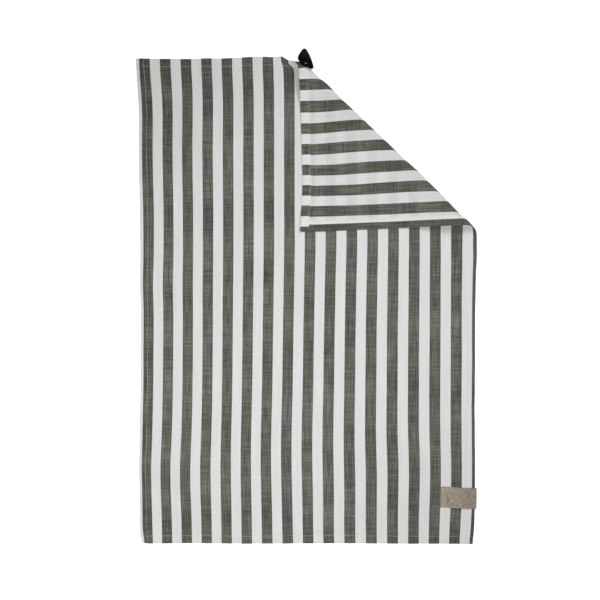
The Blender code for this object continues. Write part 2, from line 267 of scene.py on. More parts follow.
# Middle of the tape, from its lower end round the tip to its upper end: reach, height (mm)
LOOP_PATH = (
    (0, 16.8), (5, 16.9), (10, 16.9), (14, 16.7), (18, 16.2), (21, 15.5), (22.5, 15.7),
    (23, 16.4), (22.3, 17.2), (20, 17.8), (15, 18.5), (10, 19.0), (5, 19.0), (0, 18.3),
)

# Sewing thread
THREAD_RADIUS = 0.2 * MM
THREAD_ARCH = 0.24 * MM       # how far a stitch stands up between its ends
STITCH_PITCH = 3.0 * MM
STITCH_HOLE = 0.03            # share of the spacing left open at each end of a stitch
STITCH_RINGS = 7
STITCH_SIDES = 6
STITCH_TAPER = (0.2, 0.4)     # angle left off the half sine wave of its thickness at each end, and its power

# Photograph's view, straight down, and its light
CAMERA_PLACE = (-11.5 * MM, 1.9 * MM, 1.9)
CAMERA_LENS = 79.02
PANELS = (                    # place and size in metres, power in watts
    ("near_panel", (-0.15, -0.25, 0.88), 0.5, 5.3),
    ("far_panel", (0.75, 0.75, 1.13), 0.7, 9.6),
)
WORLD_LIGHT = 0.116
TABLE_REACH = 12.0            # from its middle to its sides
TABLE_DROP = 0.3 * MM         # room under the towel for the stitches behind it
TABLE_GLOW = 0.7


def smooth_step(q):
    """0 below q = 0, 1 above q = 1, and 10q^3 - 15q^4 + 6q^5 between them."""
    q = np.clip(q, 0, 1)
    return q ** 3 * (q * (6 * q - 15) + 10)


def turn_profile(steps=800):
    """Section of the fold for a radius of 1: length, distance past the start, height, where the turn ends.

    The heading climbs to half a turn plus OVERTURN, with its bend eased in and out. It then falls back to
    half a turn over the length that brings the height to zero.
    """
    heading = np.pi + OVERTURN
    arc = heading * TURN_STRETCH
    q = np.linspace(0, 1, steps)
    rising = q * q / (2 * TURN_EASE)
    steady = q - TURN_EASE / 2
    ending = 1 - TURN_EASE - (1 - q) ** 2 / (2 * TURN_EASE)
    share = np.where(q < TURN_EASE, rising, np.where(q < 1 - TURN_EASE, steady, ending))
    turn = heading * share / (1 - TURN_EASE)
    landing = np.pi + OVERTURN * (1 - smooth_step(q))

    def run(angle, length):
        step = length / (steps - 1)
        along = np.concatenate([[0], np.cumsum(np.cos(angle)[1:] + np.cos(angle)[:-1]) * step / 2])
        up = np.concatenate([[0], np.cumsum(np.sin(angle)[1:] + np.sin(angle)[:-1]) * step / 2])
        return along, up

    turn_out, turn_up = run(turn, arc)
    land = turn_up[-1] / -np.mean(np.sin(landing))
    land_out, land_up = run(landing, land)
    length = np.concatenate([q * arc, arc + q[1:] * land])
    out = np.concatenate([turn_out, turn_out[-1] + land_out[1:]])
    up = np.concatenate([turn_up, turn_up[-1] + land_up[1:]])
    return length, out, up, arc


TURN_LENGTH, TURN_OUT, TURN_UP, TURN_ARC = turn_profile()


def shifted(x, y, table):
    """x and y moved by each row of the table, fading as a Gaussian from the row's place."""
    x_new, y_new = x.copy(), y.copy()
    for row_x, row_y, reach_x, reach_y, shift_x, shift_y in np.array(table) * MM:
        weight = np.exp(-((x - row_x) / reach_x) ** 2 - ((y - row_y) / reach_y) ** 2)
        x_new += shift_x * weight
        y_new += shift_y * weight
    return x_new, y_new


def swell(x, y):
    """Height of the soft swells: each is (1 - r^2)^2 over its own ellipse, and nothing outside it."""
    height = np.zeros_like(x)
    for row_x, row_y, half_length, half_width, angle, rise in SWELLS:
        turn = np.radians(angle)
        along = (x / MM - row_x) * np.cos(turn) + (y / MM - row_y) * np.sin(turn)
        across = (y / MM - row_y) * np.cos(turn) - (x / MM - row_x) * np.sin(turn)
        room = np.clip(1 - (along / half_length) ** 2 - (across / half_width) ** 2, 0, 1)
        height += rise * MM * room ** 2
    return height


def ripple(x, y):
    """Height of the soft waves: a sum of cosines of many directions and lengths.

    Each is RIPPLE_SLOPE times its length high. The sum s is brought to rest on the surface as
    r * log(1 + exp(s / r)), which is s where it is high and close to nothing where it is below 0.
    """
    draw = np.random.default_rng(RIPPLE_SEED)
    total = np.zeros_like(x)
    for _ in range(RIPPLES):
        length = draw.uniform(*RIPPLE_LENGTH)
        angle = draw.uniform(0, np.pi)
        phase = draw.uniform(0, 2 * np.pi)
        way = x * np.cos(angle) + y * np.sin(angle)
        total += RIPPLE_SLOPE * length * np.cos(2 * np.pi * way / length + phase) / 2
    return RIPPLE_REST * np.logaddexp(0, total / RIPPLE_REST)


def wander(way, lengths, seed):
    """An uneven wave along a line, from 0 to 1: the mean of cosines of the given lengths."""
    phases = np.random.default_rng(seed).uniform(0, 2 * np.pi, len(lengths))
    total = sum(np.cos(2 * np.pi * way / length + phase) for length, phase in zip(lengths, phases))
    return 0.5 + total / (2 * len(lengths))


def side_edge(v):
    """Flat u of the right side's turn, which the hem takes up a little more of lower down."""
    low, high = SIDE_TRIM
    return CLOTH_WIDTH - low + (low - high) * smooth_step((v - SIDE_TRIM_SPAN[0]) / SIDE_TRIM_SPAN[1])


def near_sides(u, v):
    """1 over the corners of an end hem, where a side hem lies inside it, and 0 away from them."""
    from_side = np.minimum(u + SIDE_HEMS[1] - SIDE_HEMS[0], side_edge(v) - u) - SIDE_HEMS[1]
    return 1 - smooth_step((from_side - CORNER_MARGIN[0]) / CORNER_MARGIN[1])


def hem_rise(u, v):
    """Height that the cloth gains where it lies over its own turned hems."""
    from_end = np.minimum(v, CLOTH_LENGTH - v) - END_HEM
    from_side = np.minimum(u, side_edge(v) - u) - SIDE_HEMS[1]
    flat_share = smooth_step(from_end / HEM_EASE) * smooth_step(from_side / HEM_EASE)
    corner_share = near_sides(u, v) * (1 - smooth_step(from_end / HEM_EASE * 2))
    return HEM_DEPTH * (1 - flat_share) + (CORNER_DEPTH - HEM_DEPTH) * corner_share


def label_rise(u, v):
    """Height that the cloth gains over the label's back leaf: full over the label, eased off round it."""
    inward = side_edge(v) - u - LABEL_LEAF
    up_or_down = np.abs(v - LABEL_V) - LABEL_WIDTH / 2
    away = np.maximum(np.maximum(inward, up_or_down) - LABEL_MARGIN, 0)
    return (LABEL_THICK + 2 * LABEL_GAP) * (1 - smooth_step(away / LABEL_EASE))


def edge_lift(u, v):
    """Height of the puckers along the two end hems and of the long sides where they stand off the surface."""
    from_end = np.minimum(v, CLOTH_LENGTH - v)
    end_shift = np.where(v < CLOTH_LENGTH / 2, 0, OTHER_EDGE[0])
    pucker = wander(u + end_shift, HEM_WAVES, HEM_SEED) * np.exp(-(from_end / (2 * END_HEM)) ** 2)
    from_side = np.minimum(u, CLOTH_WIDTH - u)
    side_shift = np.where(u < CLOTH_WIDTH / 2, 0, OTHER_EDGE[1])
    stand = wander(v + side_shift, SIDE_LIFT_WAVES, SIDE_SEED) ** 2
    return HEM_WAVE * pucker + SIDE_LIFT * stand * np.exp(-(from_side / SIDE_LIFT_REACH) ** 2)


def swayed(u, v):
    """Flat points u and v, counted from the cloth's middle and moved by SWAYS."""
    return shifted(u - CLOTH_WIDTH / 2, v - CLOTH_LENGTH / 2, SWAYS)


def from_fold(x, y):
    """Distance along the fold and distance past it, from its middle."""
    offset = np.stack([x, y], axis=-1) - FOLD_MIDDLE
    return offset @ FOLD_ALONG, offset @ FOLD_ACROSS


def stripe_ease(x):
    """How far left the stripes lie: STRIPE_EASE in the middle, falling as a parabola to 0 at the sides."""
    share = x / CLOTH_WIDTH + 0.5
    return STRIPE_EASE * 4 * share * (1 - share)


def sheet_place(u, v):
    """Place of the middle of the cloth's thickness for flat points u and v, before hem and label lift it.

    Past the start of the fold the cloth follows turn_profile, scaled to the roll's radius there, and past its
    end it runs back over the front. It also gives the share of the turn, 0 on the front and 1 on the corner.
    """
    x, y = swayed(u, v)
    _, past = from_fold(x, y)
    x = x - stripe_ease(x) * (1 - smooth_step((past - STRIPE_EASE_END[0]) / STRIPE_EASE_END[1]))

    along, past = from_fold(x, y)
    radius = np.full_like(x, ROLL_RADIUS)
    for place, extra, reach in ROLL_ENDS:
        radius += ROLL_RADIUS * extra * np.exp(-((along - place) / reach) ** 2)
    start = -radius * (TURN_OUT[-1] + TURN_LENGTH[-1]) / 2
    length = (past - start) / radius
    rolled = start + radius * np.interp(length, TURN_LENGTH, TURN_OUT)
    out = np.where(length > 0, rolled, past)
    out = np.where(length > TURN_LENGTH[-1], -past, out)
    turned = smooth_step(length / TURN_ARC)
    height = radius * np.interp(length, TURN_LENGTH, TURN_UP)
    height = height + CLOTH_THICK / 2 + (CLOTH_THICK + LAYER_GAP) * turned
    along = along + FLAP_SLIP * turned
    x_laid, y_laid = (
        FOLD_MIDDLE[axis] + FOLD_ALONG[axis] * along + FOLD_ACROSS[axis] * out for axis in (0, 1))
    x_laid, y_laid = shifted(x_laid, y_laid, PULLS)
    height = height + swell(x, y) + ripple(x_laid, y_laid) + edge_lift(u, v)
    return np.stack([x_laid, y_laid, height], axis=-1), turned


def laid(u, v, lift):
    """Where flat points lie, lift metres in front of the cloth's middle, with the front's normal there.

    The normal is the cross product of the steps that the cloth takes along u and along v.
    """
    u, v, lift = np.broadcast_arrays(u, v, lift)
    step = 0.2 * MM
    place, turned = sheet_place(u, v)
    to_u = sheet_place(u + step, v)[0] - sheet_place(u - step, v)[0]
    to_v = sheet_place(u, v + step)[0] - sheet_place(u, v - step)[0]
    normal = np.cross(to_u, to_v)
    normal /= np.linalg.norm(normal, axis=-1, keepdims=True)
    lifted = 1 - smooth_step(turned * 4)      # gone a quarter of the way round the turn
    place[..., 2] += (hem_rise(u, v) + label_rise(u, v)) * lifted
    return place + normal * lift[..., None], normal


def beside(way, lift, distance):
    """A section's line moved sideways: each point goes a distance to the left of the way that it heads."""
    heading_way, heading_lift = np.gradient(way), np.gradient(lift)
    size = np.hypot(heading_way, heading_lift)
    return way - distance * heading_lift / size, lift + distance * heading_way / size


def even_lines(first, last, spacing):
    """Evenly spaced places from first to last, no further apart than spacing."""
    return np.linspace(first, last, int(np.ceil((last - first) / spacing)) + 1)


def turned_hem(width, stitch, outer, inner):
    """Middle line of a double-turned hem, from the start of its outer bend to the raw edge inside it.

    It gives the distance in from the towel's edge, the lift from the cloth, and the heading in radians: 0
    along the cloth to the edge, pi along the leaf behind it, 2 pi along the tucked layer between the two.
    outer and inner are the bends' radii, as columns when they change along the hem.
    """
    bend = np.linspace(0, np.pi, 6)[:, None]
    leaf = np.array(HEM_LEAF_LINES) * stitch
    back = [outer - outer * np.sin(bend), leaf[:, None] + 0 * outer, width - inner + inner * np.sin(bend),
            np.array([[width * HEM_TUCK_LINE], [TUCK_END]]) + 0 * outer]
    leaf_lift = -2 * outer
    lift = [outer * (np.cos(bend) - 1), leaf_lift + 0 * leaf[:, None], leaf_lift + inner * (1 - np.cos(bend)),
            leaf_lift + 2 * inner + np.zeros((2, 1))]
    heading = [bend, np.full((len(leaf), 1), np.pi), np.pi + bend, np.full((2, 1), 2 * np.pi)]
    return np.concatenate(back), np.concatenate(lift), np.concatenate(heading)


def groove(from_edge, stitch):
    """How far the stitches pull a layer in: a Gaussian about their line."""
    return HEM_GROOVE * np.exp(-((from_edge - stitch) / HEM_GROOVE_REACH) ** 2)


def add_piece(name, points, faces, flat, material, sharp=40):
    """Object from points and faces, its UV map holding each point's place on the flat cloth in metres."""
    mesh = bpy.data.meshes.new(name)
    mesh.from_pydata(points.tolist(), [], faces)
    corners = np.zeros(len(mesh.loops), dtype=np.int32)
    mesh.loops.foreach_get("vertex_index", corners)
    mesh.uv_layers.new(name="flat").data.foreach_set("uv", flat[corners].astype(np.float32).ravel())
    mesh.shade_smooth()
    mesh.set_sharp_from_angle(angle=np.radians(sharp))
    mesh.materials.append(material)
    item = bpy.data.objects.new(name, mesh)
    bpy.context.scene.collection.objects.link(item)
    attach(item, "root")
    return item


def closed_sheet(name, front, back, flat, material, sharp=40):
    """Closed body between two grids of points, columns to the right and rows up as the front is seen.

    Every cell is cut from its lower right to its upper left corner, which is the way the turned corner's
    fold runs, so the roll shows no zigzag.
    """
    rows, columns = front.shape[:2]
    index = np.arange(rows * columns).reshape(rows, columns)
    a, b, c, d = index[:-1, :-1], index[:-1, 1:], index[1:, 1:], index[1:, :-1]
    top = np.concatenate([np.stack([a, b, d], -1).reshape(-1, 3), np.stack([b, c, d], -1).reshape(-1, 3)])
    rim = np.concatenate([index[0, :-1], index[:-1, -1], index[-1, :0:-1], index[:0:-1, 0]])
    ahead = np.roll(rim, -1)
    count = index.size
    walls = np.concatenate([
        np.stack([ahead, rim, rim + count], -1), np.stack([ahead, rim + count, ahead + count], -1),
    ])
    faces = np.concatenate([top, top[:, ::-1] + count, walls]).tolist()
    points = np.concatenate([front.reshape(-1, 3), back.reshape(-1, 3)])
    flat = np.tile(flat.reshape(-1, 2), (2, 1))
    return add_piece(name, points, faces, flat, material, sharp)


def thread_piece(name, path, up, material):
    """Tubes of thread: path is a line of points for each stitch, up the cloth's normal at each of them.

    A ring of STITCH_SIDES points goes round each place on the path, square to it, and narrows at both ends.
    """
    stitches, rings = path.shape[:2]
    ahead = np.gradient(path, axis=1)
    ahead /= np.linalg.norm(ahead, axis=-1, keepdims=True)
    side = np.cross(ahead, up)
    side /= np.linalg.norm(side, axis=-1, keepdims=True)
    over = np.cross(side, ahead)
    turn = np.linspace(0, 2 * np.pi, STITCH_SIDES, endpoint=False)[:, None]
    left_off, power = STITCH_TAPER
    swell_out = np.sin(np.linspace(left_off, np.pi - left_off, rings)) ** power
    spoke = over[:, :, None] * np.cos(turn) + side[:, :, None] * np.sin(turn)
    points = path[:, :, None] + THREAD_RADIUS * swell_out[:, None, None] * spoke
    index = np.arange(stitches * rings * STITCH_SIDES).reshape(stitches, rings, STITCH_SIDES)
    after = np.roll(index, -1, axis=2)
    walls = np.stack([index[:, :-1], after[:, :-1], after[:, 1:], index[:, 1:]], -1).reshape(-1, 4)
    faces = walls.tolist() + index[:, 0, ::-1].tolist() + index[:, -1].tolist()
    length = np.linspace(0, STITCH_PITCH, rings)
    round_way = np.linspace(0, 2 * np.pi * THREAD_RADIUS, STITCH_SIDES, endpoint=False)
    flat = np.stack(np.broadcast_arrays(length[None, :, None], round_way[None, None, :]), -1)
    flat = np.broadcast_to(flat, (stitches, rings, STITCH_SIDES, 2))
    return add_piece(name, points.reshape(-1, 3), faces, flat.reshape(-1, 2), material, sharp=60)


def plug(tree, socket, value):
    """Gives a socket a value, or links it to another socket or to a node's first open output."""
    if isinstance(value, bpy.types.Node):
        value = next(output for output in value.outputs if output.enabled)
    if isinstance(value, bpy.types.NodeSocket):
        tree.links.new(value, socket)
    else:
        socket.default_value = value


def add_node(tree, kind, inputs=(), **settings):
    """A shader node with its settings. Its inputs follow its open sockets' order, or go by their names."""
    item = tree.nodes.new("ShaderNode" + kind)
    for name, value in settings.items():
        setattr(item, name, value)
    if not isinstance(inputs, dict):
        inputs = dict(zip([place for place, socket in enumerate(item.inputs) if socket.enabled], inputs))
    for socket, value in inputs.items():
        plug(tree, item.inputs[socket], value)
    return item


def linear(code):
    """Linear colour, with alpha 1, of an sRGB hex code."""
    part = np.array([int(code[i:i + 2], 16) for i in (1, 3, 5)]) / 255
    part = np.where(part <= 0.04045, part / 12.92, ((part + 0.055) / 1.055) ** 2.4)
    return (*part.tolist(), 1.0)


def new_material(name):
    """A node material, add_node for its tree, its flat place in metres, and that place's two coordinates."""
    material = bpy.data.materials.new(name)
    material.use_nodes = True
    add = partial(add_node, material.node_tree)
    flat = add("UVMap", uv_map="flat")
    across, along = add("SeparateXYZ", (flat,)).outputs[:2]
    return material, add, flat, across, along


def finished(material, inputs, height, strength, depth):
    """The material with its shader's inputs set, and a bump of a strength and a depth (m) from a height."""
    tree = material.node_tree
    bump = add_node(tree, "Bump", {"Strength": strength, "Distance": depth, "Height": height})
    for name, value in {**inputs, "Normal": bump}.items():
        plug(tree, tree.nodes["Principled BSDF"].inputs[name], value)
    return material


def streaks(add, flat, across, along, start, detail=2.0):
    """Noise drawn out to streaks of a size across and one along the cloth (m), from its own start."""
    place = add("VectorMath", (flat, (1 / across, 1 / along, 0), (start, start, 0)), operation="MULTIPLY_ADD")
    look = {"Vector": place, "Scale": 1.0, "Detail": detail, "Roughness": 0.5}
    return add("TexNoise", look, noise_dimensions="2D")


def waves(add, way, length):
    """Sine waves along a way, each of this length."""
    return add("Math", (add("Math", (way, 2 * np.pi / length), operation="MULTIPLY"),), operation="SINE")


def plain_weave(add, across, along, warp, weft):
    """Checkerboard of soft humps, sin(pi u / warp) sin(pi v / weft): above 0 where the weft lies on top."""
    return add("Math", (waves(add, across, 2 * warp), waves(add, along, 2 * weft)), operation="MULTIPLY")


def lightness(add, *rows):
    """Product of factors. Each row is a pattern, its low and high value, and the factor that goes with each.

    The factor changes evenly between the two and is held outside them.
    """
    light = 1.0
    for row in rows:
        light = add("Math", (light, add("MapRange", row)), operation="MULTIPLY")
    return light


def striped_cotton():
    """Plain-woven cotton with stripes of dyed warp: matt, with light flecks of weft in the dark stripes.

    Cotton yarn is spun unevenly, so single warps run lighter or darker for a hand's width, and thick places
    in the weft lie across the stripes as short dashes.
    """
    material, add, flat, across, along = new_material("Plain-woven yarn-dyed cotton")
    layers = add("Attribute", attribute_name="layers").outputs["Fac"]
    # Threads are 0.5 mm apart, 20 in a centimetre, which is usual for a tea towel
    weave = plain_weave(add, across, along, 0.5 * MM, 0.56 * MM)
    humps = add("Math", (weave,), operation="ABSOLUTE")

    # Distance from the middle of the nearest dark stripe
    from_first = add("Math", (across, STRIPE_MARGIN + STRIPE_WIDTH / 2), operation="SUBTRACT")
    from_middle = add("Math", (from_first, STRIPE_WIDTH), operation="PINGPONG")
    dark = add("MapRange", (from_middle, (DARK_WIDTH - DYE_EDGE) / 2, (DARK_WIDTH + DYE_EDGE) / 2, 1, 0))

    # Dark stripes are darker along the long sides and in the hems, and painted shade darkens them towards
    # three places
    corners = lightness(add, *[
        (add("VectorMath", (flat, (*corner, 0)), operation="DISTANCE"), 0.1 * reach, reach, share, 1)
        for corner, reach, share in PAINTED_SHADE_PLACES])
    from_axis = add("Math", (across, CLOTH_WIDTH / 2), operation="SUBTRACT")
    from_axis = add("Math", (from_axis,), operation="ABSOLUTE")
    at_sides = add("MapRange", (from_axis, CLOTH_WIDTH / 2 - SIDE_DARKENING[0], CLOTH_WIDTH / 2, 1, SIDE_DARKENING[1]))
    sides_or_hems = add("Math", (at_sides, add("MapRange", (layers, -1, 0, 0.92, 1))), operation="MINIMUM")

    single_warps = streaks(add, flat, 1.4 * MM, 40 * MM, 11.0, 3.0)
    warp_groups = streaks(add, flat, 4 * MM, 200 * MM, 23.0)
    single_wefts = streaks(add, flat, 70 * MM, 2.6 * MM, 37.0, 1.5)
    weft_groups = streaks(add, flat, 160 * MM, 44 * MM, 43.0, 4.0)
    # The last two rows hand on a share as it is
    dark_light = lightness(
        add, (single_warps, 0.25, 0.75, 0.5, 1.5), (warp_groups, 0.3, 0.7, 0.9, 1.1),
        (single_wefts, 0.25, 0.75, 0.76, 1.24), (weft_groups, 0.3, 0.7, 0.77, 1.23),
        (from_middle, STRIPE_WIDTH / 2 - 1.8 * MM, STRIPE_WIDTH / 2 - 0.4 * MM, 1, 0.86),
        (corners, 0, 1, 0, 1), (sides_or_hems, 0, 1, 0, 1))
    tone = add("MapRange", (streaks(add, flat, 150 * MM, 120 * MM, 3.0, 3.0), 0.35, 0.65))
    warp_colour = add("Mix", (tone, linear("#5f615a"), linear("#636158")), data_type="RGBA")
    dark_colour = add("VectorMath", (warp_colour, dark_light), operation="SCALE")

    # Thick places in the white weft lie across the stripe as light dashes
    thick_places = streaks(add, flat, 22 * MM, 1.0 * MM, 51.0, 1.0)
    slubs = add("Math", (weave, 0.06, thick_places), operation="MULTIPLY_ADD")
    on_top = add("MapRange", (slubs, 0.66, 0.8, 0, 0.28))
    dark_colour = add("Mix", (on_top, dark_colour, linear("#b7b4aa")), data_type="RGBA")

    # White cloth is thin enough to look a little lighter and warmer where a hem's layers lie behind it. The
    # painted shade towards three places darkens it too
    white_light = lightness(
        add, (streaks(add, flat, 3.2 * MM, 110 * MM, 67.0), 0.3, 0.7, 0.965, 1.03),
        (streaks(add, flat, 7 * MM, 1.4 * MM, 79.0), 0.3, 0.7, 0.985, 1.015),
        (humps, 0, 0.5, 0.94, 1), (layers, -1, 0, 1.06, 1), (corners, 0.6, 1, 0.89, 1))
    white_colour = add("Mix", (add("MapRange", (layers, -1, 0, 1, 0)), linear("#e8e8e8"), linear("#e8e8e5")),
                       data_type="RGBA")
    white_colour = add("VectorMath", (white_colour, white_light), operation="SCALE")

    # Both look darker where a dark stripe lies behind them, and with the painted shade along the fold's roll
    colour = add("Mix", (dark, white_colour, dark_colour), data_type="RGBA")
    colour = add("VectorMath", (colour, add("MapRange", (layers, 0, 2, 1, 0.8))), operation="SCALE")
    yarns = add("Math", (single_wefts, 1.5, single_warps), operation="MULTIPLY_ADD")
    height = add("Math", (humps, 0.6, yarns), operation="MULTIPLY_ADD")
    return finished(material, {"Base Color": colour, "Roughness": 0.7, "Specular IOR Level": 0.3},
                    height, 0.35, 0.12 * MM)


def linen_tape():
    """Woven linen-coloured tape: unbleached, so it is flecked from grey to sand, with fine ribs across it."""
    material, add, flat, across, along = new_material("Woven linen-coloured tape")
    weave = plain_weave(add, across, along, 0.42 * MM, 0.5 * MM)
    flecks = streaks(add, flat, 0.9 * MM, 7 * MM, 5.0, 3.0)
    ribs = streaks(add, flat, 6 * MM, 1.3 * MM, 29.0)
    clouds = add("MapRange", (streaks(add, flat, 9 * MM, 7 * MM, 17.0), 0.35, 0.65))
    colour = add("Mix", (clouds, linear("#a09888"), linear("#9a9080")), data_type="RGBA")
    # The last row is painted light and shade: paler at the inner end, where two layers lie on each other, and
    # darker towards the side, where the tape curves down round the towel
    light = lightness(
        add, (flecks, 0.3, 0.7, 0.76, 1.24), (ribs, 0.3, 0.7, 0.72, 1.28), (weave, -0.6, 0.6, 0.92, 1.08),
        (across, 6 * MM, 52 * MM, 1.1, 0.86))
    height = add("Math", (add("Math", (weave,), operation="ABSOLUTE"), flecks))
    return finished(material, {"Base Color": add("VectorMath", (colour, light), operation="SCALE"),
                               "Roughness": 0.85, "Specular IOR Level": 0.3, "Sheen Weight": 0.1},
                    height, 0.5, 0.12 * MM)


def black_tape():
    """Black cotton twill tape: matt, its fine slanting ribs just catch the light."""
    material, add, flat, across, along = new_material("Black cotton twill tape")
    slant = add("Math", (across, add("Math", (along, 3.2 * MM), operation="PINGPONG")))
    rib = waves(add, slant, 0.9 * MM)
    lint = streaks(add, flat, 1.6 * MM, 1.6 * MM, 7.0, 3.0)
    # Painted light and shade: paler round its tip and along its right side, blacker towards the root of its
    # upper leg
    painted_tip_light = add("Math", (add("Math", (along, 0.9), operation="MULTIPLY"), across), operation="SUBTRACT")
    light = lightness(
        add, (rib, -1, 1, 0.75, 1.3), (lint, 0.35, 0.65, 0.3, 2.0), (painted_tip_light, -27 * MM, -21 * MM, 0.3, 1.7))
    colour = add("VectorMath", (linear("#0f0f0b")[:3], light), operation="SCALE")
    return finished(material, {"Base Color": colour, "Roughness": 0.5, "Specular IOR Level": 0.06},
                    rib, 0.6, 0.15 * MM)


def sewing_thread(name, code):
    """Spun sewing thread: two plies twisted together, so a slanting light and dark runs round it."""
    material, add, _, across, along = new_material(name)
    ply = waves(add, add("Math", (across, along)), 0.45 * MM)
    colour = add("VectorMath", (linear(code)[:3], lightness(add, (ply, -1, 1, 0.82, 1.1))), operation="SCALE")
    return finished(material, {"Base Color": colour, "Roughness": 0.6, "Specular IOR Level": 0.4},
                    ply, 0.4, 0.05 * MM)


def flat_place(x, y):
    """Flat u of the lower layer's point that lies at x and y: guessed, then corrected five times."""
    u, v = x + CLOTH_WIDTH / 2, y + CLOTH_LENGTH / 2
    for _ in range(5):
        x_now, y_now = swayed(u, v)
        u, v = u + x - x_now + stripe_ease(x_now), v + y - y_now
    return u


def show_through_and_fold_shade(u, v, place, single):
    """How dark the back looks: dark stripes of the front that show through it, and painted shade along the
    fold's roll.

    The stripes show where the turned corner rests on the front in a single layer. The painted shade is a
    Gaussian about the fold's outermost line and a slow fade from it.
    Gaussian about the fold's outermost line and a slow fade from it.
    """
    _, past = from_fold(*swayed(u, v))
    under = flat_place(place[..., 0], place[..., 1])
    way = (under - STRIPE_MARGIN - STRIPE_WIDTH / 2) / (2 * STRIPE_WIDTH)
    from_middle = np.abs(way - np.round(way)) * 2 * STRIPE_WIDTH
    dark = smooth_step((STRIPE_WIDTH / 2 - from_middle) / SHOWS_EDGE + 0.5)
    outermost = ROLL_RADIUS * (TURN_LENGTH[np.argmax(TURN_OUT)] - (TURN_OUT[-1] + TURN_LENGTH[-1]) / 2)
    beyond = np.abs(past - outermost)
    hollow = HOLLOW_SHADE[0] * np.exp(-(beyond / HOLLOW_REACH[0]) ** 2)
    hollow += HOLLOW_SHADE[1] * (1 - smooth_step(beyond / HOLLOW_REACH[1]))
    return dark * smooth_step((past - SHOWS_FROM[0]) / SHOWS_FROM[1]) * single + hollow


def side_section():
    """Across the cloth with both side hems turned: u, lift, heading and place on the uncut weave.

    The heading is 0 to the right. In the left hem it is counted the other way, from -2 pi up to 0.
    """
    radius = np.array([[OUTER_BEND]]), np.array([[INNER_BEND]])
    lefts, rights = [turned_hem(width, stitch, *radius) for width, stitch in zip(SIDE_HEMS, SIDE_STITCHES)]
    left, left_lift, left_heading = [part[::-1, 0] for part in lefts]
    right, right_lift, right_heading = [part[:, 0] for part in rights]
    near, near_right = np.array(LEFT_LINES) * MM, CLOTH_WIDTH - np.array(RIGHT_LINES) * MM
    middle = np.concatenate([
        near, even_lines(near[-1], FINE_FROM[0], WIDE_CELL[0])[1:-1],
        even_lines(FINE_FROM[0], near_right[0], FINE_CELL)[:-1], near_right,
    ])
    u = np.concatenate([left, middle, CLOTH_WIDTH - right])
    lift = np.concatenate([left_lift, np.zeros(len(middle)), right_lift])
    heading = np.concatenate([-left_heading, np.zeros(len(middle)), right_heading])
    cut = np.concatenate([[0], np.cumsum(np.hypot(np.diff(u), np.diff(lift)))])
    return u, lift, heading, cut + near[0] - cut[len(left)]


def end_section(low_corners, high_corners):
    """Along the cloth with both end hems turned: v, lift and heading, which is 0 upwards.

    The corners, 1 at the sides and 0 elsewhere, widen the bends where three layers lie inside them instead
    of one. Rows are places along the cloth, columns places across it.
    """
    (low, low_lift, heading), (high, high_lift, _) = [
        turned_hem(END_HEM, END_STITCH, OUTER_BEND + (CORNER_OUTER_BEND - OUTER_BEND) * corners[None, :],
                   INNER_BEND + (CORNER_INNER_BEND - INNER_BEND) * corners[None, :])
        for corners in (low_corners, high_corners)]
    near = np.array(END_LINES) * MM
    middle = np.concatenate([
        near, even_lines(near[-1], FINE_FROM[1], WIDE_CELL[1])[1:-1],
        even_lines(FINE_FROM[1], CLOTH_LENGTH - near[-1], FINE_CELL)[:-1], CLOTH_LENGTH - near[::-1],
    ])[:, None]
    level = np.zeros((1, len(low_corners)))
    v = np.concatenate([low[::-1], middle + level, CLOTH_LENGTH - high])
    lift = np.concatenate([low_lift[::-1], 0 * middle + level, high_lift])
    heading = np.concatenate([-heading[::-1], 0 * middle, heading])
    return v, lift, heading


